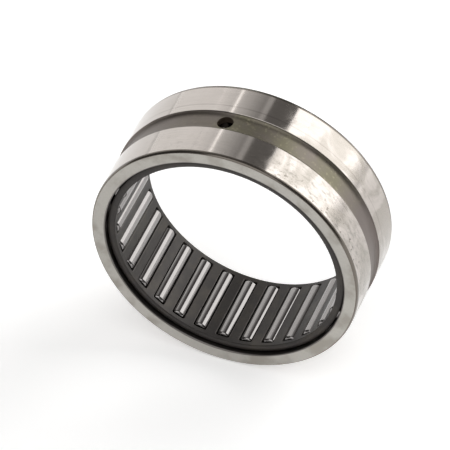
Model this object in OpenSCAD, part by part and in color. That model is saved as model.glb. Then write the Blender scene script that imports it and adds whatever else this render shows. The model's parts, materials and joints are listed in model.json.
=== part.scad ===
// Needle roller bearing: a machined outer ring with two ribs, a one-piece window cage
// and a row of needle rollers. It has no inner ring, so the rollers run on the shaft.
// The bearing stands on its rim: its axis lies along Y, and the origin is its centre.

/* [Needle rollers] */
// Diameter of the shaft that the rollers run on
shaft_d = 45; // [36:0.5:60]
// Diameter of a needle roller
roller_d = 3; // [2.5:0.1:4]
// Length of a needle roller
roller_length = 15.8; // [10:0.2:24]
// Radius that rounds a roller's ends
roller_end_r = 0.5; // [0.2:0.05:0.8]
// How many needle rollers there are
roller_count = 30; // [12:1:36]
// Angle of the first roller, from +X towards +Z
first_roller_at = 3.4; // [0:0.1:12]

/* [Outer ring] */
// Thickness of the ring over the raceway
ring_wall = 1.97; // [1.5:0.01:4]
// Width of each rib, along the axis
rib_width = 2; // [1.5:0.1:4]
// How far a rib stands in from the raceway
rib_height = 0.88; // [0.6:0.02:1.2]
// Edge break between a rib's bore and the face
rib_edge = 0.28; // [0.1:0.02:0.5]
// Rounding of the outer corners, measured in from the outside diameter
corner_radial = 0.35; // [0.2:0.05:0.8]
// Rounding of the outer corners, measured along the axis
corner_axial = 0.8; // [0.3:0.05:1.4]
// Width of the turned relief at each end of the raceway
relief_width = 0.5; // [0.3:0.1:1]
// Depth of that relief
relief_depth = 0.15; // [0.05:0.05:0.3]

/* [Oil supply] */
// Width of the groove round the outside
groove_width = 4.84; // [3:0.02:7]
// Depth of the groove
groove_depth = 0.6; // [0.3:0.05:1]
// How far each groove wall leans out between floor and edge
groove_lean = 0.12; // [0:0.02:0.3]
// Diameter of the oil hole in the groove
oil_hole_d = 3.2; // [1:0.1:4]
// Angle of the oil hole, from +X towards +Z
oil_hole_at = 97.4; // [0:0.1:360]

/* [Cage] */
// Width of the cage's end rims, along the axis
cage_rim = 1; // [0.8:0.05:2]
// Edge break round the cage's rims
cage_edge = 0.14; // [0.05:0.01:0.3]
// How far each pocket lip reaches under its roller
lip_catch = 0.14; // [0.1:0.02:0.3]

/* [Clearances] */
// Between a roller and the raceway
raceway_gap = 0.03; // [0.01:0.01:0.08]
// Between a roller's end and the rib
rib_gap = 0.1; // [0.05:0.01:0.2]
// Between a roller and its pocket's flanks
pocket_gap = 0.1; // [0.05:0.01:0.2]
// Between a roller's end and its pocket's end
pocket_end_gap = 0.25; // [0.15:0.01:0.4]
// Between the cage and the ribs it turns in
cage_rib_gap = 0.3; // [0.15:0.05:0.4]
// Between the cage's bore and the shaft
cage_shaft_gap = 0.42; // [0.2:0.02:0.6]

/* [Hidden] */
$fn = 96;
arc_steps = 6;
past = 1;
number_names = [for (i = [1 : roller_count]) str(i < 10 ? "0" : "", i)];
ROLLERS = [for (name = number_names) str("needle_roller_", name)];

roller_r = roller_d / 2;
pitch_r = shaft_d / 2 + roller_r;
roller_step = 360 / roller_count;

raceway_r = pitch_r + roller_r + raceway_gap;
raceway_half = roller_length / 2 + rib_gap;
rib_bore_r = raceway_r - rib_height;
outer_r = raceway_r + ring_wall;
ring_half = raceway_half + rib_width;
groove_half = groove_width / 2;

cage_bore_r = shaft_d / 2 + cage_shaft_gap;
cage_outer_r = rib_bore_r - cage_rib_gap;
pocket_r = roller_r + pocket_gap;
pocket_length = roller_length + 2 * pocket_end_gap;
pocket_mouth = roller_d - 2 * lip_catch;
cage_half = pocket_length / 2 + cage_rim;

// A length along the bearing's axis is a Z in a profile. This lays that axis along Y,
// and an angle from +X then turns towards +Z.
module on_rim() {
    rotate([90, 0, 0])
        children();
}

// A quarter of an ellipse about centre, from straight outwards to straight along the axis
function quarter(centre, out_r, along_r) =
    [for (i = [0 : arc_steps])
        let (angle = 90 * i / arc_steps)
        centre + [out_r * cos(angle), along_r * sin(angle)]];

// Points given for one end of a profile, repeated in reverse order for the other end
function both_ends(points) =
    concat(points, [for (i = [len(points) - 1 : -1 : 0]) [points[i][0], -points[i][1]]]);

// The ring's section: out of the groove, round the corner and back along the bore
function ring_section() =
    both_ends(concat(
        [[outer_r - groove_depth, groove_half - groove_lean], [outer_r, groove_half]],
        quarter([outer_r - corner_radial, ring_half - corner_axial],
                corner_radial, corner_axial),
        [[rib_bore_r + rib_edge, ring_half],
         [rib_bore_r, ring_half - rib_edge],
         [rib_bore_r, raceway_half],
         [raceway_r + relief_depth, raceway_half],
         [raceway_r + relief_depth, raceway_half - relief_width],
         [raceway_r, raceway_half - relief_width - relief_depth]]));

module ring_blank() {
    rotate_extrude()
        polygon(ring_section());
}

module oil_hole() {
    rotate([0, 0, oil_hole_at])
        translate([rib_bore_r - past, 0, 0])
            rotate([0, 90, 0])
                cylinder(d = oil_hole_d, h = outer_r - rib_bore_r + 2 * past);
}

module outer_ring() {
    color("silver")
        on_rim()
            difference() {
                ring_blank();
                oil_hole();
            }
}

function cage_section() =
    both_ends([
        [cage_outer_r, cage_half - cage_edge],
        [cage_outer_r - cage_edge, cage_half],
        [cage_bore_r + cage_edge, cage_half],
        [cage_bore_r, cage_half - cage_edge]]);

// One roller's pocket: round where it guides the roller, open to the raceway,
// and narrower at the bore, where two lips keep the roller from falling in.
module pocket() {
    translate([pitch_r, 0, 0]) {
        cylinder(r = pocket_r, h = pocket_length, center = true);
        translate([0, -pocket_r, -pocket_length / 2])
            cube([cage_outer_r - pitch_r + past, 2 * pocket_r, pocket_length]);
        translate([cage_bore_r - pitch_r - past, -pocket_mouth / 2, -pocket_length / 2])
            cube([pitch_r - cage_bore_r + past, pocket_mouth, pocket_length]);
    }
}

module cage() {
    color("dimgray")
        on_rim()
            difference() {
                rotate_extrude()
                    polygon(cage_section());
                for (i = [0 : roller_count - 1])
                    rotate([0, 0, first_roller_at + i * roller_step])
                        pocket();
            }
}

function roller_section() =
    both_ends(concat(
        quarter([roller_r - roller_end_r, roller_length / 2 - roller_end_r],
                roller_end_r, roller_end_r),
        [[0, roller_length / 2]]));

// A roller, counted from 0 at first_roller_at
module needle_roller(index) {
    color("gainsboro")
        on_rim()
            rotate([0, 0, first_roller_at + index * roller_step])
                translate([pitch_r, 0, 0])
                    rotate_extrude()
                        polygon(roller_section());
}

outer_ring();
cage();
for (i = [0 : roller_count - 1])
    needle_roller(i);
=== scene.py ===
# %% [markdown]
# # The looks of a needle roller bearing
#
# A finished CAD model fixes every size of this bearing. This lesson gives each of its
# pieces the surface that its maker gave it: an outer ring of ground and turned steel,
# a window cage of dark phosphated steel, and thirty polished needle rollers.
# Lengths are in metres, the axis lies along Y, and the bearing stands on its rim.

import json
import math

import bpy
import numpy as np
from mathutils import Matrix, Vector


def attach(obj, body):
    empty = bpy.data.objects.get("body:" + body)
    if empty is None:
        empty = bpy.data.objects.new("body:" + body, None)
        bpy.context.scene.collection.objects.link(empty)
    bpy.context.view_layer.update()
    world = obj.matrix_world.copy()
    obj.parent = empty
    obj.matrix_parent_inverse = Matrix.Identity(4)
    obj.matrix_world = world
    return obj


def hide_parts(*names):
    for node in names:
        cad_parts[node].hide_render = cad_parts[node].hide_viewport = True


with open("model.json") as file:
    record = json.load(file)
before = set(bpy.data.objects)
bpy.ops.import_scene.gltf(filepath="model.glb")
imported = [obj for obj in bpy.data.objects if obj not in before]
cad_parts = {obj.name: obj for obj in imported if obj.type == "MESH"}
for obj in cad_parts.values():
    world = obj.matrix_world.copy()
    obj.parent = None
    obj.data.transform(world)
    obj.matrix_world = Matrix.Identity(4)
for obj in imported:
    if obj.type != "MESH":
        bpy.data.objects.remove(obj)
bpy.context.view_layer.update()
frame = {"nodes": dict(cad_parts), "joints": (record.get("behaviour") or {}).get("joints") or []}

# %% [markdown]
# ## Sizes come from the CAD model
#
# The CAD meshes are coarse, but each of their corners lies exactly on the true surface.
# So the sizes are read from the corners: how far each one is from the axis, and where
# it is along the axis. The finer meshes made below then have the same sizes.

# %% Read the outer ring's sizes
MM = 0.001
NEAR = 0.002 * MM        # two corners this close lie on the same surface


def corners_of(node):
    """A CAD node's corners: distance from the axis, place along it, and angle."""
    points = np.array([v.co for v in frame["nodes"][node].data.vertices])
    x, y, z = points.T
    return np.hypot(x, z), y, np.arctan2(z, x)


def mm(*lengths):
    return ", ".join(f"{length / MM:.2f}" for length in lengths) + " mm"


reach, along, angle = corners_of("outer_ring")
ring_r = reach.max()
ring_half = along.max()
on_rim = reach > ring_r - NEAR
groove_half = np.abs(along[on_rim]).min()
corner_along = ring_half - np.abs(along[on_rim]).max()
on_face = along > ring_half - NEAR
corner_in = ring_r - reach[on_face].max()
rib_bore_r = reach.min()
rib_edge = reach[on_face].min() - rib_bore_r

inside = reach < (ring_r + rib_bore_r) / 2
relief_r = reach[inside].max()
on_relief = inside & (reach > relief_r - NEAR)
raceway_half = np.abs(along[on_relief]).max()
relief_half = np.abs(along[on_relief]).min()
raceway_r = reach[inside & (np.abs(along) < relief_half - NEAR)].min()

in_groove = ~inside & (np.abs(along) < groove_half - NEAR)
floor_r = reach[in_groove].max()
floor_half = np.abs(along[in_groove]).max()
on_hole = in_groove & (np.abs(along) < floor_half - NEAR)
hole_r = np.abs(along[on_hole]).max()
hole_angle = (angle[on_hole].min() + angle[on_hole].max()) / 2
print("outside radius, half width, groove half:", mm(ring_r, ring_half, groove_half))
print("corner in, along:", mm(corner_in, corner_along), "rib bore:", mm(rib_bore_r))
print("raceway, relief, halves:", mm(raceway_r, relief_r, raceway_half, relief_half))
print("groove floor, hole:", mm(floor_r, floor_half, hole_r), math.degrees(hole_angle))

# %% Read the cage's and the rollers' sizes
CAGE_END = 0.5 * MM      # wider than the cage's edge breaks, narrower than its rims

reach, along, angle = corners_of("cage")
cage_in_r = reach.min()
cage_out_r = reach.max()
cage_half = along.max()
cage_edge = cage_half - np.abs(along[reach > cage_out_r - NEAR]).max()
at_window = np.abs(along) < cage_half - CAGE_END
window_half = np.abs(along[at_window]).max()

spins = [j for j in frame["joints"] if j["name"].endswith("_spin")]
roller_count = len(spins)
centres = [Vector(j["pos_m"]) for j in spins]
pitch_r = math.hypot(centres[0].x, centres[0].z)
first_angle = math.atan2(centres[0].z, centres[0].x)
step = math.tau / roller_count

turned = (angle[at_window] - first_angle + step / 2) % step - step / 2
sideways = np.abs(reach[at_window] * np.sin(turned))
lip_half = sideways[reach[at_window] < cage_in_r + NEAR].max()
pocket_r = sideways[reach[at_window] > cage_out_r - NEAR].max()

points = np.array([v.co for v in frame["nodes"]["needle_roller_01"].data.vertices])
points -= np.array(centres[0])
reach, along = np.hypot(points[:, 0], points[:, 2]), points[:, 1]
roller_r = reach.max()
roller_half = along.max()
roller_end_r = roller_half - along[reach > roller_r - NEAR].max()
print("cage radii, half width, edge:", mm(cage_in_r, cage_out_r, cage_half, cage_edge))
print("window half length, lips, pocket:", mm(window_half, lip_half, pocket_r))
print(roller_count, "rollers:", mm(roller_r, roller_half, roller_end_r, pitch_r))

# %% [markdown]
# ## Three small helpers
#
# Every colour is written as a hex value, as a colour picker shows it, and one function
# turns it into the linear values that a shader works in. One function adds a node to a
# shader or to a Geometry Nodes tree, with its settings and whatever feeds its inputs.
# One starts an empty material.

# %% Colour, node and material helpers
def colour(hex_value):
    """A hex colour such as "BEB7B2" as linear RGBA."""
    parts = [int(hex_value[i:i + 2], 16) / 255 for i in (0, 2, 4)]
    linear = [c / 12.92 if c <= 0.04045 else ((c + 0.055) / 1.055) ** 2.4 for c in parts]
    return (*linear, 1.0)


def add_node(tree, kind, inputs=(), **settings):
    """Adds a node. inputs maps a socket's name or number to a value or to an output."""
    node = tree.nodes.new(kind)
    for name, value in settings.items():
        setattr(node, name, value)
    for key, value in dict(inputs).items():
        if isinstance(value, bpy.types.NodeSocket):
            tree.links.new(value, node.inputs[key])
        else:
            node.inputs[key].default_value = value
    return node


def empty_material(name):
    material = bpy.data.materials.new(name)
    material.use_nodes = True
    material.node_tree.nodes.clear()
    return material, material.node_tree


print("The colour of ground steel:", [round(c, 3) for c in colour("BEB7B2")])

# %% [markdown]
# ## The rim: ground bearing steel
#
# The outside diameter is hardened chromium steel, ground between wheels. Grinding leaves
# fine rings round the rim, so it shines almost like a mirror along its length and less
# sharply across it. Handling leaves swirls of oil, blotches and small specks.
#
# The rings are noise that is stretched round the axis: it changes every quarter of a
# millimetre along Y and only slowly along X and Z. Real grinding marks are about
# a hundredth of a millimetre wide, too fine to show, so they are drawn wider. The
# shader's anisotropy could stretch the reflections too, but it wouldn't show the rings
# themselves. The oil is a noise of 8 mm that is bent by its distortion, the blotches are
# 1 to 2 mm across, and the specks are less than a millimetre.

# %% Patterns on the rim
rim_steel, tree = empty_material("ground_bearing_steel_rim")
place = add_node(tree, "ShaderNodeTexCoord").outputs["Object"]
xyz = add_node(tree, "ShaderNodeSeparateXYZ", {0: place})

stretched = add_node(tree, "ShaderNodeMapping", {
    "Vector": place, "Scale": (1 / (9 * MM), 1 / (0.25 * MM), 1 / (9 * MM))})
rings = add_node(tree, "ShaderNodeTexNoise", {
    "Vector": stretched.outputs[0], "Scale": 1.0, "Detail": 3.0, "Roughness": 0.6})
cloudy = add_node(tree, "ShaderNodeTexNoise", {
    "Vector": place, "Scale": 1 / (8 * MM), "Detail": 3.0, "Roughness": 0.5,
    "Distortion": 1.4})
wiped = add_node(tree, "ShaderNodeMapping", {
    "Vector": place, "Scale": (1 / (1.8 * MM), 1 / (0.7 * MM), 1 / (1.8 * MM))})
mottled = add_node(tree, "ShaderNodeTexNoise", {
    "Vector": wiped.outputs[0], "Scale": 1.0, "Detail": 4.0, "Roughness": 0.7,
    "Distortion": 0.5})
specks = add_node(tree, "ShaderNodeTexNoise", {
    "Vector": place, "Scale": 1 / (0.9 * MM), "Detail": 2.0, "Roughness": 0.6})
print("patterns on the rim: rings, oil, blotches and specks")

# %% [markdown]
# One side of the bearing has been handled more than the rest. So the stains, blotches
# and specks are multiplied by a mask that grows towards +X, and the blotches and specks
# also by one that grows towards the front land, on the side of -Y. A fitter's tool has
# left one faint line round the far land, 4.2 mm from the middle: the distance from that
# line makes its mask, and the oil's noise makes it uneven. The marks could be painted by
# hand instead, but masks stay sharp at any size of picture.

# %% Where the rim has been marked
handled = add_node(tree, "ShaderNodeMapRange", {
    "Value": xyz.outputs["X"], "From Min": 2 * MM, "From Max": 14 * MM,
    "To Min": 0.12, "To Max": 1.0}, interpolation_type="SMOOTHSTEP")
near_land = add_node(tree, "ShaderNodeMapRange", {
    "Value": xyz.outputs["Y"], "From Min": 0.0, "From Max": -5 * MM,
    "To Min": 0.2, "To Max": 1.0})
touched = add_node(tree, "ShaderNodeMath", {
    0: handled.outputs[0], 1: near_land.outputs[0]}, operation="MULTIPLY")
stain = add_node(tree, "ShaderNodeMapRange", {
    "Value": cloudy.outputs["Fac"], "From Min": 0.4, "From Max": 0.6, "To Max": 0.9},
    interpolation_type="SMOOTHSTEP")
stain = add_node(tree, "ShaderNodeMath", {
    0: stain.outputs[0], 1: handled.outputs[0]}, operation="MULTIPLY")
blotch = add_node(tree, "ShaderNodeMapRange", {
    "Value": mottled.outputs["Fac"], "From Min": 0.48, "From Max": 0.66, "To Max": 0.7})
blotch = add_node(tree, "ShaderNodeMath", {
    0: blotch.outputs[0], 1: touched.outputs[0]}, operation="MULTIPLY")
speck = add_node(tree, "ShaderNodeMapRange", {
    "Value": specks.outputs["Fac"], "From Min": 0.61, "From Max": 0.69, "To Max": 0.8})
front = add_node(tree, "ShaderNodeMapRange", {
    "Value": xyz.outputs["Y"], "From Min": -4 * MM, "From Max": -9 * MM})
speck = add_node(tree, "ShaderNodeMath", {
    0: speck.outputs[0], 1: front.outputs[0]}, operation="MULTIPLY")
speck = add_node(tree, "ShaderNodeMath", {
    0: speck.outputs[0], 1: handled.outputs[0]}, operation="MULTIPLY")

off_line = add_node(tree, "ShaderNodeMath", {
    0: xyz.outputs["Y"], 1: 4.2 * MM}, operation="SUBTRACT")
off_line = add_node(tree, "ShaderNodeMath", {0: off_line.outputs[0]}, operation="ABSOLUTE")
scored = add_node(tree, "ShaderNodeMapRange", {
    "Value": off_line.outputs[0], "From Min": 0.03 * MM, "From Max": 0.25 * MM,
    "To Min": 0.5, "To Max": 0.0})
scored = add_node(tree, "ShaderNodeMath", {
    0: scored.outputs[0], 1: cloudy.outputs["Fac"]}, operation="MULTIPLY")
print("marks on the rim: stain, blotch, speck and one scored line")

# %% [markdown]
# The clean steel's colour is mixed with one colour for each kind of mark. Where oil has
# dried, the steel is also rougher, so its reflections are softer there. The rings give
# the surface a relief of a few thousandths of a millimetre.

# %% Ground steel for the rim
clean = add_node(tree, "ShaderNodeMix", {
    0: rings.outputs["Fac"], 6: colour("B0AAA5"), 7: colour("BEB7B2")}, data_type="RGBA")
stained = add_node(tree, "ShaderNodeMix", {
    0: stain.outputs[0], 6: clean.outputs[2], 7: colour("A09A93")}, data_type="RGBA")
blotched = add_node(tree, "ShaderNodeMix", {
    0: blotch.outputs[0], 6: stained.outputs[2], 7: colour("85817A")}, data_type="RGBA")
specked = add_node(tree, "ShaderNodeMix", {
    0: speck.outputs[0], 6: blotched.outputs[2], 7: colour("4E473E")}, data_type="RGBA")
lined = add_node(tree, "ShaderNodeMix", {
    0: scored.outputs[0], 6: specked.outputs[2], 7: colour("6F6862")}, data_type="RGBA")

dullness = add_node(tree, "ShaderNodeMapRange", {
    "Value": stain.outputs[0], "To Min": 0.09, "To Max": 0.24})
relief = add_node(tree, "ShaderNodeBump", {
    "Height": rings.outputs["Fac"], "Strength": 0.5, "Distance": 0.004 * MM})
steel = add_node(tree, "ShaderNodeBsdfPrincipled", {
    "Base Color": lined.outputs[2], "Metallic": 1.0, "Roughness": dullness.outputs[0],
    "Normal": relief.outputs[0]})
add_node(tree, "ShaderNodeOutputMaterial", {"Surface": steel.outputs[0]})
print("rim steel:", len(tree.nodes), "nodes")

# %% [markdown]
# ## The end faces: flat ground steel
#
# The two end faces are ground flat with the side of a wheel. The marks cross each other
# in every direction, so the face is an even, satin grey with no sharp reflections.
# Several stretched noises could draw the crossing marks. They are finer than a picture
# of the whole bearing shows, so one fine and even noise stands for them, and a coarser
# one lays a few smudges over the face.

# %% Ground steel for the end faces
face_steel, tree = empty_material("flat_ground_bearing_steel")
place = add_node(tree, "ShaderNodeTexCoord").outputs["Object"]
grain = add_node(tree, "ShaderNodeTexNoise", {
    "Vector": place, "Scale": 1 / (0.3 * MM), "Detail": 3.0, "Roughness": 0.65})
cloudy = add_node(tree, "ShaderNodeTexNoise", {
    "Vector": place, "Scale": 1 / (4.5 * MM), "Detail": 3.0, "Roughness": 0.5})
clean = add_node(tree, "ShaderNodeMix", {
    0: grain.outputs["Fac"], 6: colour("A5A29C"), 7: colour("B8B5AF")}, data_type="RGBA")
smudge = add_node(tree, "ShaderNodeMapRange", {
    "Value": cloudy.outputs["Fac"], "From Min": 0.42, "From Max": 0.66, "To Max": 0.75},
    interpolation_type="SMOOTHSTEP")
smudged = add_node(tree, "ShaderNodeMix", {
    0: smudge.outputs[0], 6: clean.outputs[2], 7: colour("928D85")}, data_type="RGBA")
dullness = add_node(tree, "ShaderNodeMapRange", {
    "Value": cloudy.outputs["Fac"], "To Min": 0.30, "To Max": 0.42})
relief = add_node(tree, "ShaderNodeBump", {
    "Height": grain.outputs["Fac"], "Strength": 0.4, "Distance": 0.006 * MM})
steel = add_node(tree, "ShaderNodeBsdfPrincipled", {
    "Base Color": smudged.outputs[2], "Metallic": 1.0, "Roughness": dullness.outputs[0],
    "Normal": relief.outputs[0]})
add_node(tree, "ShaderNodeOutputMaterial", {"Surface": steel.outputs[0]})
print("face steel:", len(tree.nodes), "nodes")

# %% [markdown]
# ## The groove: turned steel
#
# The oil groove is turned before the ring is hardened and isn't ground afterwards, so
# it keeps the brownish grey skin of hardening and the rings of the turning tool. Old oil
# lies in it at the top of the ring, past the hole, as an olive film with a few paler
# flecks. The flecks are painted glints: specks of light on dried oil, painted into the
# colour. Two masks keep the oil and its glints there: one grows with Z and one with X.
# The oil could be a skin of its own over the steel, but it is too thin to show a
# thickness, so it is only a change of colour. The tool's rings are about 0.1 mm apart,
# too fine to show, so they are drawn at 0.3 mm.

# %% Turned steel for the groove
groove_steel, tree = empty_material("turned_hardened_steel")
place = add_node(tree, "ShaderNodeTexCoord").outputs["Object"]
stretched = add_node(tree, "ShaderNodeMapping", {
    "Vector": place, "Scale": (1 / (12 * MM), 1 / (0.3 * MM), 1 / (12 * MM))})
rings = add_node(tree, "ShaderNodeTexNoise", {
    "Vector": stretched.outputs[0], "Scale": 1.0, "Detail": 3.0, "Roughness": 0.6})
cloudy = add_node(tree, "ShaderNodeTexNoise", {
    "Vector": place, "Scale": 1 / (7 * MM), "Detail": 4.0, "Roughness": 0.6})
skin = add_node(tree, "ShaderNodeMix", {
    0: rings.outputs["Fac"], 6: colour("6D6662"), 7: colour("7C7470")}, data_type="RGBA")
xyz = add_node(tree, "ShaderNodeSeparateXYZ", {0: place})
high = add_node(tree, "ShaderNodeMapRange", {
    "Value": xyz.outputs["Z"], "From Min": 12 * MM, "From Max": 19 * MM})
past_hole = add_node(tree, "ShaderNodeMapRange", {
    "Value": xyz.outputs["X"], "From Min": -9 * MM, "From Max": -2 * MM, "To Min": 0.25})
oily = add_node(tree, "ShaderNodeMapRange", {
    "Value": cloudy.outputs["Fac"], "From Min": 0.3, "From Max": 0.58})
oily = add_node(tree, "ShaderNodeMath", {
    0: oily.outputs[0], 1: high.outputs[0]}, operation="MULTIPLY")
oily = add_node(tree, "ShaderNodeMath", {
    0: oily.outputs[0], 1: past_hole.outputs[0]}, operation="MULTIPLY")
oiled = add_node(tree, "ShaderNodeMix", {
    0: oily.outputs[0], 6: skin.outputs[2], 7: colour("736F5F")}, data_type="RGBA")
# Pale flecks on the oil: painted glints, specks of light painted into the colour.
glint_noise = add_node(tree, "ShaderNodeTexNoise", {
    "Vector": place, "Scale": 1 / (0.7 * MM), "Detail": 2.0, "Roughness": 0.6})
painted_glints = add_node(tree, "ShaderNodeMapRange", {
    "Value": glint_noise.outputs["Fac"], "From Min": 0.57, "From Max": 0.72, "To Max": 0.4})
painted_glints = add_node(tree, "ShaderNodeMath", {
    0: painted_glints.outputs[0], 1: oily.outputs[0]}, operation="MULTIPLY")
glinted = add_node(tree, "ShaderNodeMix", {
    0: painted_glints.outputs[0], 6: oiled.outputs[2], 7: colour("B5AC96")}, data_type="RGBA")
dullness = add_node(tree, "ShaderNodeMapRange", {
    "Value": cloudy.outputs["Fac"], "To Min": 0.36, "To Max": 0.5})
relief = add_node(tree, "ShaderNodeBump", {
    "Height": rings.outputs["Fac"], "Strength": 0.6, "Distance": 0.01 * MM})
steel = add_node(tree, "ShaderNodeBsdfPrincipled", {
    "Base Color": glinted.outputs[2], "Metallic": 1.0, "Roughness": dullness.outputs[0],
    "Normal": relief.outputs[0]})
add_node(tree, "ShaderNodeOutputMaterial", {"Surface": steel.outputs[0]})
print("groove steel:", len(tree.nodes), "nodes")

# %% [markdown]
# ## The corners: turned steel
#
# The rounded outer corners are turned too, and the wheels that grind the rim and the
# faces don't reach them. They stay darker and draw a thin dark line round each face.
# They could share the groove's steel, but the tool that rounds a corner leaves it
# smoother than the groove, so the corners get a steel of their own with finer rings,
# drawn at 0.15 mm so that a few of them fit on a corner.

# %% Turned steel for the corners
corner_steel, tree = empty_material("turned_corner_steel")
place = add_node(tree, "ShaderNodeTexCoord").outputs["Object"]
stretched = add_node(tree, "ShaderNodeMapping", {
    "Vector": place, "Scale": (1 / (5 * MM), 1 / (0.15 * MM), 1 / (5 * MM))})
rings = add_node(tree, "ShaderNodeTexNoise", {
    "Vector": stretched.outputs[0], "Scale": 1.0, "Detail": 3.0, "Roughness": 0.6})
skin = add_node(tree, "ShaderNodeMix", {
    0: rings.outputs["Fac"], 6: colour("645E59"), 7: colour("777169")}, data_type="RGBA")
dullness = add_node(tree, "ShaderNodeMapRange", {
    "Value": rings.outputs["Fac"], "To Min": 0.14, "To Max": 0.26})
steel = add_node(tree, "ShaderNodeBsdfPrincipled", {
    "Base Color": skin.outputs[2], "Metallic": 1.0, "Roughness": dullness.outputs[0]})
add_node(tree, "ShaderNodeOutputMaterial", {"Surface": steel.outputs[0]})
print("corner steel:", len(tree.nodes), "nodes")

# %% [markdown]
# ## The hole: drilled steel
#
# The drill leaves a rough wall. Old oil darkens it, and the rest of its near-black
# colour is painted shade, which keeps light off the wall inside the hole. Oil hides most
# of the metal, so its metallic value is low. The wall's roughness could be in the mesh,
# but the hole is only 3 mm wide, and a bump is enough to break up its reflections.

# %% Drilled steel for the hole
hole_steel, tree = empty_material("drilled_oily_steel_shaded")
place = add_node(tree, "ShaderNodeTexCoord").outputs["Object"]
grain = add_node(tree, "ShaderNodeTexNoise", {
    "Vector": place, "Scale": 1 / (0.5 * MM), "Detail": 3.0, "Roughness": 0.7})
# Near black: dark oil, and painted shade inside the hole.
oiled = add_node(tree, "ShaderNodeMix", {
    0: grain.outputs["Fac"], 6: colour("2C241B"), 7: colour("544638")}, data_type="RGBA")
relief = add_node(tree, "ShaderNodeBump", {
    "Height": grain.outputs["Fac"], "Strength": 0.8, "Distance": 0.05 * MM})
steel = add_node(tree, "ShaderNodeBsdfPrincipled", {
    "Base Color": oiled.outputs[2], "Metallic": 0.3, "Roughness": 0.6,
    "Normal": relief.outputs[0]})
add_node(tree, "ShaderNodeOutputMaterial", {"Surface": steel.outputs[0]})
print("hole steel:", len(tree.nodes), "nodes")

# %% [markdown]
# ## The bore: honed steel
#
# The raceway and the ribs beside it are ground and honed. They lie behind the cage and
# show only as dark gaps. Their colour is much darker than the rim's steel, which is
# painted shade: it keeps bright glints out of the gaps beside the cage. Their rings are
# finer than the rim's, and they too are drawn wider than they are, at 0.15 mm. They
# could share the rim's steel, but then the marks of handling would go on inside, where
# no hand reaches.

# %% Honed steel for the bore
bore_steel, tree = empty_material("honed_raceway_steel_shaded")
place = add_node(tree, "ShaderNodeTexCoord").outputs["Object"]
stretched = add_node(tree, "ShaderNodeMapping", {
    "Vector": place, "Scale": (1 / (6 * MM), 1 / (0.15 * MM), 1 / (6 * MM))})
rings = add_node(tree, "ShaderNodeTexNoise", {
    "Vector": stretched.outputs[0], "Scale": 1.0, "Detail": 2.0, "Roughness": 0.5})
# Dark steel colours: painted shade in the gaps beside the cage.
honed_and_shaded = add_node(tree, "ShaderNodeMix", {
    0: rings.outputs["Fac"], 6: colour("6B6764"), 7: colour("7E7A77")}, data_type="RGBA")
dullness = add_node(tree, "ShaderNodeMapRange", {
    "Value": rings.outputs["Fac"], "To Min": 0.3, "To Max": 0.42})
steel = add_node(tree, "ShaderNodeBsdfPrincipled", {
    "Base Color": honed_and_shaded.outputs[2], "Metallic": 1.0, "Roughness": dullness.outputs[0]})
add_node(tree, "ShaderNodeOutputMaterial", {"Surface": steel.outputs[0]})
print("bore steel:", len(tree.nodes), "nodes")

# %% [markdown]
# ## The cage: phosphated steel
#
# A machined steel cage is phosphated, which gives it a dark grey skin of tiny crystals
# that holds oil. It is matt where it is dry and has a soft shine where it is oiled. On
# the edges of its pockets the rollers have rubbed the skin thin, and these narrow edges
# also catch the light. A shader can look for sharp edges by itself, but it would find
# every edge. So the mesh carries an attribute that is 1 along the pockets' edges, and
# the material shows a paler steel there: partly bare steel, partly a painted highlight.
# The crystals are a few hundredths of a millimetre across, too fine to show, so they are
# drawn at 0.25 mm.

# %% Phosphated steel for the cage
cage_steel, tree = empty_material("phosphated_steel")
place = add_node(tree, "ShaderNodeTexCoord").outputs["Object"]
wear_and_highlight = add_node(tree, "ShaderNodeAttribute", attribute_name="wear_and_highlight").outputs["Fac"]
crystals = add_node(tree, "ShaderNodeTexNoise", {
    "Vector": place, "Scale": 1 / (0.25 * MM), "Detail": 3.0, "Roughness": 0.7})
cloudy = add_node(tree, "ShaderNodeTexNoise", {
    "Vector": place, "Scale": 1 / (4 * MM), "Detail": 4.0, "Roughness": 0.6})
skin = add_node(tree, "ShaderNodeMix", {
    0: crystals.outputs["Fac"], 6: colour("2B2826"), 7: colour("3B3735")}, data_type="RGBA")
film = add_node(tree, "ShaderNodeMapRange", {
    "Value": cloudy.outputs["Fac"], "From Min": 0.45, "From Max": 0.7, "To Max": 0.6})
oiled = add_node(tree, "ShaderNodeMix", {
    0: film.outputs[0], 6: skin.outputs[2], 7: colour("443E36")}, data_type="RGBA")
# Paler along the pockets' edges: partly rubbed, bare steel and partly a painted highlight.
rubbed_and_highlit = add_node(tree, "ShaderNodeMath", {
    0: wear_and_highlight, 1: crystals.outputs["Fac"]}, operation="MULTIPLY")
rubbed_and_highlit_skin = add_node(tree, "ShaderNodeMix", {
    0: rubbed_and_highlit.outputs[0], 6: oiled.outputs[2], 7: colour("66625E")}, data_type="RGBA")
dullness = add_node(tree, "ShaderNodeMapRange", {
    "Value": cloudy.outputs["Fac"], "To Min": 0.5, "To Max": 0.36})
relief = add_node(tree, "ShaderNodeBump", {
    "Height": crystals.outputs["Fac"], "Strength": 0.4, "Distance": 0.01 * MM})
steel = add_node(tree, "ShaderNodeBsdfPrincipled", {
    "Base Color": rubbed_and_highlit_skin.outputs[2], "Metallic": 0.5,
    "Roughness": dullness.outputs[0], "Normal": relief.outputs[0]})
add_node(tree, "ShaderNodeOutputMaterial", {"Surface": steel.outputs[0]})
print("cage steel:", len(tree.nodes), "nodes")

# %% [markdown]
# ## The rollers: polished steel
#
# Needle rollers are ground and then tumbled until they are bright. They mirror their
# surroundings as long streaks. A perfect mirror would do for a new roller, but these
# have run: a thin, uneven film of oil makes the streaks waver. Two noises give that, one
# in the roughness and a finer one in a very shallow bump.

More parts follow.
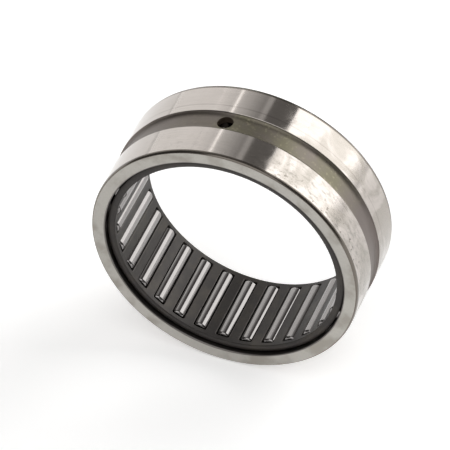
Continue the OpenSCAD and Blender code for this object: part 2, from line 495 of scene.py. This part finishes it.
# %% Polished steel for the rollers
roller_steel, tree = empty_material("polished_bearing_steel")
place = add_node(tree, "ShaderNodeTexCoord").outputs["Object"]
fine = add_node(tree, "ShaderNodeTexNoise", {
    "Vector": place, "Scale": 1 / (0.5 * MM), "Detail": 3.0, "Roughness": 0.6})
cloudy = add_node(tree, "ShaderNodeTexNoise", {
    "Vector": place, "Scale": 1 / (3 * MM), "Detail": 3.0, "Roughness": 0.55})
tone = add_node(tree, "ShaderNodeMix", {
    0: cloudy.outputs["Fac"], 6: colour("878483"), 7: colour("959291")}, data_type="RGBA")
dullness = add_node(tree, "ShaderNodeMapRange", {
    "Value": cloudy.outputs["Fac"], "From Min": 0.3, "From Max": 0.7,
    "To Min": 0.05, "To Max": 0.12})
relief = add_node(tree, "ShaderNodeBump", {
    "Height": fine.outputs["Fac"], "Strength": 0.2, "Distance": 0.004 * MM})
steel = add_node(tree, "ShaderNodeBsdfPrincipled", {
    "Base Color": tone.outputs[2], "Metallic": 1.0, "Roughness": dullness.outputs[0],
    "Normal": relief.outputs[0]})
add_node(tree, "ShaderNodeOutputMaterial", {"Surface": steel.outputs[0]})
print("roller steel:", len(tree.nodes), "nodes")

# %% [markdown]
# ## A lathe in Geometry Nodes
#
# The ring and the rollers are turned shapes: a flat section that goes once round a
# centre line. The Screw modifier could do that. Here a tree does it as a lathe does, by
# sweeping the section along a circle, because one tree then serves both kinds of piece.
# The section is a thin line of corners in the tree's own mesh. Its X is the distance
# from the circle, outwards, and its Y is the place along the centre line.
#
# The circle has to be larger than zero, so it has a radius of 10 mm, and the section
# starts that much further in. The swept shape stands on the XY plane. A quarter turn
# about X lays its centre line along Y.

# %% Helpers that build and run a tree
def new_tree(name, **named_inputs):
    """A Geometry Nodes tree with a geometry going in and out, and these inputs."""
    tree = bpy.data.node_groups.new(name, "GeometryNodeTree")
    plan = tree.interface
    plan.new_socket("Geometry", in_out="INPUT", socket_type="NodeSocketGeometry")
    plan.new_socket("Geometry", in_out="OUTPUT", socket_type="NodeSocketGeometry")
    for label, kind in named_inputs.items():
        plan.new_socket(label.replace("_", " "), in_out="INPUT", socket_type=kind)
    return tree, add_node(tree, "NodeGroupInput").outputs


def run_tree(name, mesh, tree, **values):
    """Runs a tree on a mesh and returns an object that holds the plain result."""
    source = bpy.data.objects.new(name + "_source", mesh)
    bpy.context.scene.collection.objects.link(source)
    modifier = source.modifiers.new("shape", "NODES")
    modifier.node_group = tree
    sockets = {s.name: s.identifier for s in tree.interface.items_tree}
    for label, value in values.items():
        modifier[sockets[label.replace("_", " ")]] = value
    evaluated = source.evaluated_get(bpy.context.evaluated_depsgraph_get())
    result = bpy.data.meshes.new_from_object(evaluated)
    source.modifiers.remove(modifier)
    bpy.data.objects.remove(source)
    result.name = name
    piece = bpy.data.objects.new(name, result)
    bpy.context.scene.collection.objects.link(piece)
    return piece


def line_mesh(name, points, closed):
    """A mesh of one line through these points, as a section for the lathe."""
    count = len(points)
    edges = [(i, (i + 1) % count) for i in range(count if closed else count - 1)]
    mesh = bpy.data.meshes.new(name)
    mesh.from_pydata([(x, y, 0) for x, y in points], edges, [])
    return mesh


# %% The lathe's tree
CIRCLE = 10 * MM
WELD_WITHIN = 0.0005 * MM

lathe, given = new_tree("Lathe", Facets_round="NodeSocketInt",
                        Centre_line_at="NodeSocketVector")
circle = add_node(lathe, "GeometryNodeCurvePrimitiveCircle", {
    "Resolution": given["Facets round"], "Radius": CIRCLE})
section = add_node(lathe, "GeometryNodeMeshToCurve", {"Mesh": given["Geometry"]})
swept = add_node(lathe, "GeometryNodeCurveToMesh", {
    "Curve": circle.outputs["Curve"], "Profile Curve": section.outputs["Curve"]})
laid = add_node(lathe, "GeometryNodeTransform", {
    "Geometry": swept.outputs[0], "Rotation": (math.pi / 2, 0, 0),
    "Translation": given["Centre line at"]})
welded = add_node(lathe, "GeometryNodeMergeByDistance", {
    "Geometry": laid.outputs[0], "Distance": WELD_WITHIN})
add_node(lathe, "NodeGroupOutput", {"Geometry": welded.outputs[0]})
print("lathe:", len(lathe.nodes), "nodes")


# %% [markdown]
# ## The outer ring
#
# The ring's section follows the CAD sizes, with three things that the coarse CAD mesh
# leaves out. The groove's floor runs up to its walls in a long round, which is the shape
# of the tool that cut it. The groove's edges are broken by a hair. The outer corners are
# smooth. The CAD mesh could be smoothed instead, but its long thin triangles shade badly,
# so the ring is turned anew. A rounded corner is only shaded well if the flat beside it
# has a row of points close by, so each arc gets one.

# %% The ring's section
def arc(centre, out_r, along_r, start, end, steps):
    """Points on a quarter or less of an ellipse, angles in degrees."""
    turns = np.radians(np.linspace(start, end, steps + 1))
    return [(centre[0] + out_r * math.cos(t), centre[1] + along_r * math.sin(t))
            for t in turns]


def both_halves(half):
    """A half section, and the same again for the other end in reverse order."""
    return half + [(out, -place) for out, place in reversed(half)]


fillet_out, fillet_along = 0.53 * MM, 1.2 * MM    # the round at the foot of a wall
hair = 0.06 * MM         # the broken edge of the groove
beside = 0.05 * MM       # from the end of an arc to the row of points beside it
wall_foot = floor_half + (groove_half - floor_half) * fillet_out / (ring_r - floor_r)

ring_line = [(floor_r, wall_foot - fillet_along - beside)]
ring_line += arc((floor_r + fillet_out, wall_foot - fillet_along),
                 fillet_out, fillet_along, 180, 90, steps=12)
ring_line += [(ring_r - hair, groove_half), (ring_r, groove_half + hair)]
ring_line += [(ring_r, ring_half - corner_along - beside)]
ring_line += arc((ring_r - corner_in, ring_half - corner_along),
                 corner_in, corner_along, 0, 90, steps=14)
ring_line += [(ring_r - corner_in - beside, ring_half)]
ring_line += [(rib_bore_r + rib_edge + beside, ring_half)]
ring_line += arc((rib_bore_r + rib_edge, ring_half - rib_edge),
                 rib_edge, rib_edge, 90, 180, steps=6)
ring_line += [(rib_bore_r, ring_half - rib_edge - beside)]
ring_line += [(rib_bore_r, raceway_half), (relief_r, raceway_half)]
ring_line += [(relief_r, relief_half)]
ring_line += [(raceway_r, relief_half - (relief_r - raceway_r))]
ring_line = [(out - CIRCLE, place) for out, place in both_halves(ring_line)]
print("ring section:", len(ring_line), "points")

# %% [markdown]
# The ring's tree turns the section and drills the oil hole with a boolean. The drill is
# a cylinder that lies across the ring's wall, turned to the hole's angle. The hole could
# be built into the mesh face by face, but one boolean on a clean shape is reliable.

# %% The ring's tree: the blank and the drill
DRILL_LENGTH = 6 * MM    # half of it inwards from the rim, through the whole wall
DRILL_FACETS = 48

ring_tree, given = new_tree(
    "Outer ring", Facets_round="NodeSocketInt", Groove_half_width="NodeSocketFloat",
    Corner_starts_at="NodeSocketFloat", Bore_zone_radius="NodeSocketFloat",
    Outside_radius="NodeSocketFloat", Hole_radius="NodeSocketFloat",
    Hole_angle="NodeSocketFloat", Rim="NodeSocketMaterial", Face="NodeSocketMaterial",
    Groove="NodeSocketMaterial", Corner="NodeSocketMaterial", Bore="NodeSocketMaterial",
    Hole="NodeSocketMaterial")
turned = add_node(ring_tree, "GeometryNodeGroup", node_tree=lathe)
for label in ("Geometry", "Facets round"):
    ring_tree.links.new(given[label], turned.inputs[label])
blank = add_node(ring_tree, "GeometryNodeSetMaterial", {
    "Geometry": turned.outputs[0], "Material": given["Rim"]})

drill = add_node(ring_tree, "GeometryNodeMeshCylinder", {
    "Vertices": DRILL_FACETS, "Radius": given["Hole radius"], "Depth": DRILL_LENGTH})
up_at_rim = add_node(ring_tree, "ShaderNodeCombineXYZ", {"Z": given["Outside radius"]})
drill = add_node(ring_tree, "GeometryNodeTransform", {
    "Geometry": drill.outputs["Mesh"], "Translation": up_at_rim.outputs[0]})
drill = add_node(ring_tree, "GeometryNodeSetMaterial", {
    "Geometry": drill.outputs[0], "Material": given["Hole"]})
about_y = add_node(ring_tree, "ShaderNodeCombineXYZ", {"Y": given["Hole angle"]})
drill = add_node(ring_tree, "GeometryNodeTransform", {
    "Geometry": drill.outputs[0], "Rotation": about_y.outputs[0]})
drilled = add_node(ring_tree, "GeometryNodeMeshBoolean", {
    "Mesh 1": blank.outputs[0], "Mesh 2": drill.outputs[0]}, operation="DIFFERENCE",
    solver="EXACT")
print("ring tree with the drill:", len(ring_tree.nodes), "nodes")

# %% [markdown]
# Then each zone gets its own steel. Each zone could be a piece of its own, but the ring
# is one piece of steel, so it stays one mesh. The zones are found from each face's place:
# the bore by its distance from the axis, the end faces by which way they point, and the
# groove and the corners by how far they are from the middle. The hole's wall has the
# drill's steel, and a material selection keeps it. Only edges sharper than 30 degrees
# stay sharp.

# %% The ring's tree: the zones
ENDWAYS_FROM = 0.995     # the cosine of about six degrees

spot = add_node(ring_tree, "GeometryNodeInputPosition")
spot = add_node(ring_tree, "ShaderNodeSeparateXYZ", {0: spot.outputs[0]})
flat_spot = add_node(ring_tree, "ShaderNodeCombineXYZ", {
    "X": spot.outputs["X"], "Z": spot.outputs["Z"]})
far_out = add_node(ring_tree, "ShaderNodeVectorMath", {
    0: flat_spot.outputs[0]}, operation="LENGTH")
off_middle = add_node(ring_tree, "ShaderNodeMath", {
    0: spot.outputs["Y"]}, operation="ABSOLUTE")
pointing = add_node(ring_tree, "GeometryNodeInputNormal")
pointing = add_node(ring_tree, "ShaderNodeSeparateXYZ", {0: pointing.outputs[0]})
endways = add_node(ring_tree, "ShaderNodeMath", {
    0: pointing.outputs["Y"]}, operation="ABSOLUTE")

in_bore = add_node(ring_tree, "ShaderNodeMath", {
    0: far_out.outputs["Value"], 1: given["Bore zone radius"]}, operation="LESS_THAN")
in_groove = add_node(ring_tree, "ShaderNodeMath", {
    0: off_middle.outputs[0], 1: given["Groove half width"]}, operation="LESS_THAN")
past_corner = add_node(ring_tree, "ShaderNodeMath", {
    0: off_middle.outputs[0], 1: given["Corner starts at"]}, operation="GREATER_THAN")
on_end = add_node(ring_tree, "ShaderNodeMath", {
    0: endways.outputs[0], 1: ENDWAYS_FROM}, operation="GREATER_THAN")
from_drill = add_node(ring_tree, "GeometryNodeMaterialSelection", {
    "Material": given["Hole"]})
not_drilled = add_node(ring_tree, "ShaderNodeMath", {
    0: 1.0, 1: from_drill.outputs[0]}, operation="SUBTRACT")
print("ring tree with the zones:", len(ring_tree.nodes), "nodes")

# %% The ring's tree: shading and steels
bend = add_node(ring_tree, "GeometryNodeInputMeshEdgeAngle")
sharp = add_node(ring_tree, "ShaderNodeMath", {
    0: bend.outputs["Unsigned Angle"], 1: math.radians(30)}, operation="GREATER_THAN")
smooth = add_node(ring_tree, "GeometryNodeSetShadeSmooth", {
    "Geometry": drilled.outputs["Mesh"], "Shade Smooth": True}, domain="FACE")
creased = add_node(ring_tree, "GeometryNodeSetShadeSmooth", {
    "Geometry": smooth.outputs[0], "Selection": sharp.outputs[0],
    "Shade Smooth": False}, domain="EDGE")
real = add_node(ring_tree, "GeometryNodeRealizeInstances", {
    "Geometry": creased.outputs[0]})
zoned = real.outputs[0]
for zone, finish in ((past_corner, "Corner"), (in_groove, "Groove"), (in_bore, "Bore"),
                     (on_end, "Face")):
    chosen = add_node(ring_tree, "ShaderNodeMath", {
        0: zone.outputs[0], 1: not_drilled.outputs[0]}, operation="MULTIPLY")
    zoned = add_node(ring_tree, "GeometryNodeSetMaterial", {
        "Geometry": zoned, "Selection": chosen.outputs[0],
        "Material": given[finish]}).outputs[0]
add_node(ring_tree, "NodeGroupOutput", {"Geometry": zoned})
print("whole ring tree:", len(ring_tree.nodes), "nodes")

# %% Make the outer ring
outer_ring = run_tree(
    "outer_ring_turned", line_mesh("ring_section", ring_line, closed=True), ring_tree,
    Facets_round=540, Groove_half_width=float(groove_half + hair / 2),
    Corner_starts_at=float(ring_half - corner_along),
    Bore_zone_radius=float((relief_r + floor_r) / 2), Outside_radius=float(ring_r),
    Hole_radius=float(hole_r), Hole_angle=float(math.pi / 2 - hole_angle),
    Rim=rim_steel, Face=face_steel, Groove=groove_steel, Corner=corner_steel,
    Bore=bore_steel, Hole=hole_steel)
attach(outer_ring, "outer_ring")
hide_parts("outer_ring")
print("outer ring:", len(outer_ring.data.polygons), "faces,",
      [m.name for m in outer_ring.data.materials])

# %% [markdown]
# ## The rollers
#
# All thirty rollers have one section: a flat end, a rounded edge and a straight side.
# The lathe turns each one about its own centre line, whose place comes from its joint
# in the CAD model, so a roller can turn there without wobbling. One roller could be
# shown thirty times as instances, but each rides on a body of its own, so each one is
# a mesh of its own.

# %% The roller's section and tree
roller_line = [(0, roller_half), (roller_r - roller_end_r - beside, roller_half)]
roller_line += arc((roller_r - roller_end_r, roller_half - roller_end_r),
                   roller_end_r, roller_end_r, 90, 0, steps=8)
roller_line += [(roller_r, roller_half - roller_end_r - beside)]
roller_line = [(out - CIRCLE, place) for out, place in both_halves(roller_line)]

roller_tree, given = new_tree(
    "Needle roller", Facets_round="NodeSocketInt", Centre_line_at="NodeSocketVector",
    Finish="NodeSocketMaterial")
turned = add_node(roller_tree, "GeometryNodeGroup", node_tree=lathe)
for label in ("Geometry", "Facets round", "Centre line at"):
    roller_tree.links.new(given[label], turned.inputs[label])
smooth = add_node(roller_tree, "GeometryNodeSetShadeSmooth", {
    "Geometry": turned.outputs[0], "Shade Smooth": True})
real = add_node(roller_tree, "GeometryNodeRealizeInstances", {
    "Geometry": smooth.outputs[0]})
finished = add_node(roller_tree, "GeometryNodeSetMaterial", {
    "Geometry": real.outputs[0], "Material": given["Finish"]})
add_node(roller_tree, "NodeGroupOutput", {"Geometry": finished.outputs[0]})
print("roller section:", len(roller_line), "points")

# %% Make the rollers
roller_section = line_mesh("roller_section", roller_line, closed=False)
for spin, centre in zip(spins, centres):
    body = spin["child"]
    node = "needle_" + body
    roller = run_tree("polished_" + body, roller_section, roller_tree,
                      Facets_round=64, Centre_line_at=centre, Finish=roller_steel)
    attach(roller, body)
    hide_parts(node)
print(roller_count, "rollers,", len(roller.data.polygons), "faces each")

# %% [markdown]
# ## The cage
#
# The cage is the same twelve degrees thirty times over: one pocket with half a bar on
# either side, and the two rims. Thirty pockets could be cut out of a ring with a boolean,
# but that leaves ragged faces beside each edge. So one quarter of such a sector is made
# in mesh code, mirrored twice, and a tree repeats the sector round the axis.
#
# A pocket is a stack of outlines, from the bore outwards. Each outline is a rectangle
# with rounded corners. The lips at the bore are narrower than the roller. Behind them
# the walls follow the roller's round side, and from its centre outwards they are flat.

# %% The outline of a pocket and of its sector
LONG, CORNER, END = 10, 4, 5      # faces along a pocket's side, round a corner, at its end
window_corner = 0.3 * MM
lip_edge = 0.1 * MM
rim_flat = cage_half - cage_edge


def outline(half_wide, half_long, corner, radius):
    """A quarter of a pocket's outline on a cylinder of this radius: angle and place."""
    side = [(half_wide, place) for place in np.linspace(0, half_long - corner, LONG + 1)]
    bend = arc((half_wide - corner, half_long - corner), corner, corner, 0, 90, CORNER)
    end = [(wide, half_long) for wide in np.linspace(half_wide - corner, 0, END + 1)]
    return [(math.asin(wide / radius), place) for wide, place in side + bend[1:] + end[1:]]


def sector_edge():
    """Where each point of an outline goes on the edge of a quarter sector."""
    half = step / 2
    side = list(np.linspace(0, window_half - window_corner, LONG + 1))
    side += list(np.linspace(side[-1], rim_flat, CORNER // 2 + 1))[1:]
    end = np.linspace(half, 0, CORNER // 2 + END + 1)[1:]
    return [(half, place) for place in side] + [(turn, rim_flat) for turn in end]


def pocket_half_width(radius):
    """Half of the pocket's width at this distance from the bearing's axis."""
    x = (radius ** 2 + pitch_r ** 2 - pocket_r ** 2) / (2 * pitch_r)
    if x > pitch_r:
        return pocket_r
    return max(lip_half, math.sqrt(max(radius ** 2 - x ** 2, 0)))


wide_at = math.hypot(pitch_r, pocket_r)
lip_x = pitch_r - math.sqrt(pocket_r ** 2 - lip_half ** 2)
lip_top = math.hypot(lip_x, lip_half)
print("lips end at", mm(lip_top), "and the walls are flat from", mm(wide_at))

# %% One quarter of a sector
WALL_ROWS = 6            # rows of faces round the hollow that guides the roller

# The last value in each row marks the lips' edges, where the cage is painted paler: partly wear,
# partly a painted highlight.
rows = [(cage_in_r, sector_edge(), 0.0)]
rows += [(cage_in_r, outline(lip_half + lip_edge + beside, window_half + lip_edge + beside,
                             window_corner + lip_edge, cage_in_r), 0.0)]
rows += [(cage_in_r, outline(lip_half + lip_edge, window_half + lip_edge,
                             window_corner + lip_edge, cage_in_r), 1.0)]
rows += [(cage_in_r + lip_edge, outline(lip_half, window_half, window_corner,
                                        cage_in_r + lip_edge), 1.0)]
for radius in [*np.linspace(lip_top, wide_at, WALL_ROWS + 1), cage_out_r]:
    rows += [(radius, outline(pocket_half_width(radius), window_half, window_corner,
                              radius), 0.0)]
rows += [(cage_out_r, sector_edge(), 0.0)]

points, wear_and_highlight_rows, faces = [], [], []
for radius, turns, wear_and_highlight_here in rows:
    for turn, place in turns:
        points.append((radius * math.cos(turn), place, radius * math.sin(turn)))
        wear_and_highlight_rows.append(wear_and_highlight_here)
per_row = len(rows[0][1])
for row in range(len(rows) - 1):
    for i in range(per_row - 1):
        low = row * per_row + i
        faces.append((low, low + 1, low + per_row + 1, low + per_row))

rim_start = LONG + CORNER // 2
rim_turns = [turn for turn, place in sector_edge()[rim_start:]]
rim_rows = [(cage_in_r, rim_flat), (cage_in_r + cage_edge, cage_half),
            (cage_out_r - cage_edge, cage_half), (cage_out_r, rim_flat)]
base = len(points)
for radius, place in rim_rows:
    points += [(radius * math.cos(t), place, radius * math.sin(t)) for t in rim_turns]
    wear_and_highlight_rows += [0.0] * len(rim_turns)
for row in range(len(rim_rows) - 1):
    for i in range(len(rim_turns) - 1):
        low = base + row * len(rim_turns) + i
        faces.append((low, low + 1, low + len(rim_turns) + 1, low + len(rim_turns)))
print("quarter of a sector:", len(points), "points,", len(faces), "faces")

# %% [markdown]
# A mirrored copy is inside out, so the faces of the copies that are mirrored once list
# their corners backwards. The copy that is mirrored twice points the right way again.

# %% The whole sector, from four quarters
points = np.array(points)
count = len(points)
quarters = [points * flip for flip in ((1, 1, 1), (1, 1, -1), (1, -1, 1), (1, -1, -1))]
all_faces = []
for number, turned_over in enumerate((False, True, True, False)):
    for face in faces:
        shifted = [corner + number * count for corner in face]
        all_faces.append(shifted[::-1] if turned_over else shifted)
sector = bpy.data.meshes.new("cage_sector")
sector.from_pydata(np.vstack(quarters).tolist(), [], all_faces)
wear_and_highlight = sector.attributes.new("wear_and_highlight", "FLOAT", "POINT")
wear_and_highlight.data.foreach_set("value", wear_and_highlight_rows * len(quarters))
print("cage sector:", len(sector.polygons), "faces")

# %% [markdown]
# The tree puts the sector on one point for each pocket, turns each copy to its pocket's
# angle, makes the copies real and welds them where they meet. An Array modifier could
# repeat it too, but would need an empty to turn about. Edges sharper than 50 degrees
# stay sharp, which keeps the pockets crisp and the narrow edge breaks soft.

# %% The cage's tree
cage_tree, given = new_tree(
    "Cage", Pockets="NodeSocketInt", First_pocket_at="NodeSocketFloat",
    Weld_within="NodeSocketFloat", Finish="NodeSocketMaterial")
places = add_node(cage_tree, "GeometryNodePoints", {"Count": given["Pockets"]})
number = add_node(cage_tree, "GeometryNodeInputIndex")
pitch = add_node(cage_tree, "ShaderNodeMath", {
    0: math.tau, 1: given["Pockets"]}, operation="DIVIDE")
turn = add_node(cage_tree, "ShaderNodeMath", {
    0: number.outputs[0], 1: pitch.outputs[0], 2: given["First pocket at"]},
    operation="MULTIPLY_ADD")
turn = add_node(cage_tree, "ShaderNodeMath", {
    0: turn.outputs[0], 1: -1.0}, operation="MULTIPLY")
about_y = add_node(cage_tree, "ShaderNodeCombineXYZ", {"Y": turn.outputs[0]})
repeated = add_node(cage_tree, "GeometryNodeInstanceOnPoints", {
    "Points": places.outputs[0], "Instance": given["Geometry"],
    "Rotation": about_y.outputs[0]})
real = add_node(cage_tree, "GeometryNodeRealizeInstances", {
    "Geometry": repeated.outputs[0]})
welded = add_node(cage_tree, "GeometryNodeMergeByDistance", {
    "Geometry": real.outputs[0], "Distance": given["Weld within"]})
bend = add_node(cage_tree, "GeometryNodeInputMeshEdgeAngle")
sharp = add_node(cage_tree, "ShaderNodeMath", {
    0: bend.outputs["Unsigned Angle"], 1: math.radians(50)}, operation="GREATER_THAN")
smooth = add_node(cage_tree, "GeometryNodeSetShadeSmooth", {
    "Geometry": welded.outputs[0], "Shade Smooth": True}, domain="FACE")
creased = add_node(cage_tree, "GeometryNodeSetShadeSmooth", {
    "Geometry": smooth.outputs[0], "Selection": sharp.outputs[0],
    "Shade Smooth": False}, domain="EDGE")
finished = add_node(cage_tree, "GeometryNodeSetMaterial", {
    "Geometry": creased.outputs[0], "Material": given["Finish"]})
add_node(cage_tree, "NodeGroupOutput", {"Geometry": finished.outputs[0]})
print("cage tree:", len(cage_tree.nodes), "nodes")

# %% Make the cage
cage = run_tree("cage_windows", sector, cage_tree, Pockets=roller_count,
                First_pocket_at=first_angle, Weld_within=NEAR, Finish=cage_steel)
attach(cage, "cage")
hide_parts("cage")
print("cage:", len(cage.data.polygons), "faces")

# %% [markdown]
# ## The stage
#
# The bearing stands on a plain table of white paper. It glows a little, as paper does
# on a light table, which keeps the shadow pale and lights the bearing from below. More
# lamps could brighten a plain sheet as much, but the rim would mirror each of them.

# %% The table
HALF_TABLE = 6.0

table = bpy.data.meshes.new("table")
corners = [(-1, -1), (1, -1), (1, 1), (-1, 1)]
table.from_pydata([(x * HALF_TABLE, y * HALF_TABLE, -ring_r) for x, y in corners], [],
                  [(0, 1, 2, 3)])
table = bpy.data.objects.new("table", table)
bpy.context.scene.collection.objects.link(table)
paper, tree = empty_material("white_matt_paper")
sheet = add_node(tree, "ShaderNodeBsdfPrincipled", {
    "Base Color": colour("FAFAFA"), "Roughness": 0.9, "Specular IOR Level": 0.1,
    "Emission Color": colour("FFFFFF"), "Emission Strength": 0.38})
add_node(tree, "ShaderNodeOutputMaterial", {"Surface": sheet.outputs[0]})
table.data.materials.append(paper)
print("table top at", mm(-ring_r))

# %% [markdown]
# Polished steel looks like what is around it, and black against white is what makes it
# read as metal. So the steel is given a dark room to mirror, while the camera itself
# sees a pale one behind the table. The light path node tells the two apart. Both tones
# are amounts of light, so they are linear values and not hex colours.

# %% The room
DARK_ROOM = (0.125, 0.12, 0.115, 1)
PALE_ROOM = (0.85, 0.85, 0.86, 1)

room = bpy.data.worlds.new("studio")
room.use_nodes = True
tree = room.node_tree
tree.nodes.clear()
seen = add_node(tree, "ShaderNodeLightPath").outputs["Is Camera Ray"]
walls = add_node(tree, "ShaderNodeMix", {
    0: seen, 6: DARK_ROOM, 7: PALE_ROOM}, data_type="RGBA")
glow = add_node(tree, "ShaderNodeBackground", {"Color": walls.outputs[2]})
add_node(tree, "ShaderNodeOutputWorld", {"Surface": glow.outputs[0]})
bpy.context.scene.world = room
print("room:", len(tree.nodes), "nodes")

# %% [markdown]
# ## The lights
#
# The rim is a mirror that is bent one way only, so from the camera it shows one arc of
# its surroundings, from the table on the right over the back and down to the table on
# the left. What stands along that arc decides how the steel looks. An image of a studio
# could surround the bearing, but plain rectangles show what each light does. Each one's
# brightness is given as that of a white sheet in full light.

# %% A rectangle of light
def area_light(name, towards, long_way, size, distance, brightness, tint=(1, 1, 1)):
    """A rectangle of light that faces the bearing. White paper in full light is 1."""
    light = bpy.data.lights.new(name, "AREA")
    light.shape = "RECTANGLE"
    light.size, light.size_y = size
    light.energy = math.pi * brightness * size[0] * size[1]
    light.color = tint
    lamp = bpy.data.objects.new(name, light)
    lamp.location = towards * distance
    rows = np.array([long_way, towards.cross(long_way), towards]).T
    lamp.rotation_euler = Matrix(rows.tolist()).to_euler()
    lamp.visible_camera = False
    bpy.context.scene.collection.objects.link(lamp)
    print(name, f"{size[0]:.2f} x {size[1]:.2f} m, {light.energy:.1f} W")
    return lamp


# %% [markdown]
# The softboxes behind the bearing stand a metre away, side by side along the arc that
# the rim shows. Each is set by where it starts and ends, in degrees round the axis.

# %% A softbox behind the bearing
LEAN = 0.665             # how far these directions lean back, as their part along Y
AWAY = 1.0
WIDTH = 0.7


def behind(degrees):
    """A direction behind the bearing, at this angle round the axis from +X."""
    out = math.sqrt(1 - LEAN ** 2)
    turn = math.radians(degrees)
    return Vector((out * math.cos(turn), LEAN, out * math.sin(turn)))


def softbox(name, start, end, brightness):
    """A light behind the bearing that reaches from one angle round the axis to another."""
    a, b = behind(start), behind(end)
    towards = (a + b).normalized()
    length = 2 * AWAY * math.tan(towards.angle(a))
    return area_light(name, towards, (b - a).normalized(), (length, WIDTH), AWAY,
                      brightness, tint=(1.0, 1.0, 0.99))


def ramp(name, start, end, first, last, steps):
    """Softboxes side by side, with evenly changing brightness from first to last."""
    edges = np.linspace(start, end, steps + 1)
    for i, brightness in enumerate(np.linspace(first, last, steps)):
        softbox(f"{name}_{i + 1}", edges[i], edges[i + 1], brightness)


# %% [markdown]
# A large bright softbox stands at the back right, with a row below it that fades towards
# the table. Above the middle the room stays dark, but for one narrow strip. A pale wall
# at the back left grows brighter towards the table, and a thin bright strip in it draws
# a line along the rim.
#
# The upper end of the right softbox is a light of its own. Light linking keeps it off
# the rollers, which would otherwise lose the dark streak along their middle.

# %% The lights behind the bearing
ramp("low_right", -1.5, 12, 0.65, 1.8, 4)
softbox("softbox_right", 12, 62, 2.3)
strip = softbox("strip_right", 62, 75, 2.3)
lit_by_strip = bpy.data.collections.new("lit_by_strip")
for piece in (outer_ring, cage, table):
    lit_by_strip.objects.link(piece)
strip.light_linking.receiver_collection = lit_by_strip
softbox("gap_middle", 77, 95.5, 0.05)
softbox("strip_middle", 95.5, 100, 0.46)
ramp("rise_left", 100, 121.5, 0.25, 0.72, 6)
softbox("strip_left", 121.5, 123.5, 2.0)
ramp("near_left", 123.5, 138, 0.84, 1.04, 3)
softbox("softbox_left", 138, 180, 1.08)

# %% [markdown]
# Two more lights stand where the rim doesn't show them. One overhead brightens the table
# and the inside of the bearing, and a weaker one in front fills the end face.

# %% The light overhead
above = Vector((0.0, -0.45, 1.0)).normalized()
across = Vector((1, 0, 0)) - above.x * above
area_light("overhead", above, across.normalized(), size=(1.3, 1.5), distance=1.35,
           brightness=1.15)

# %% The light in front
ahead_of_it = Vector((0.0, -0.85, 0.5)).normalized()
area_light("front_fill", ahead_of_it, Vector((1, 0, 0)), size=(2.4, 0.7), distance=1.5,
           brightness=0.5)

# %% [markdown]
# ## The camera
#
# The camera looks down on the bearing at about 45 degrees with a long lens, from 1.2 m.
# A long lens keeps the two end circles almost equal in size. The point that it looks at
# lies 7 mm from the bearing's centre, which puts the bearing a little off the middle of
# the picture. The standard view transform keeps white paper white.

# %% The camera
azimuth, elevation = math.radians(20.915), math.radians(44.583)
ahead = Vector((-math.sin(azimuth) * math.cos(elevation),
                math.cos(azimuth) * math.cos(elevation), -math.sin(elevation)))
aim = Vector((-1.445, -5.43, 4.90)) * MM
distance = 1.2009
camera = bpy.data.objects.new("camera", bpy.data.cameras.new("camera"))
camera.data.lens = 497.68
camera.data.sensor_width = 36.0
camera.data.clip_start = 0.01
camera.location = aim - distance * ahead
camera.rotation_euler = ahead.to_track_quat("-Z", "Y").to_euler()
bpy.context.scene.collection.objects.link(camera)
bpy.context.scene.camera = camera
bpy.context.scene.view_settings.view_transform = "Standard"
print("camera at", [round(c, 3) for c in camera.location])
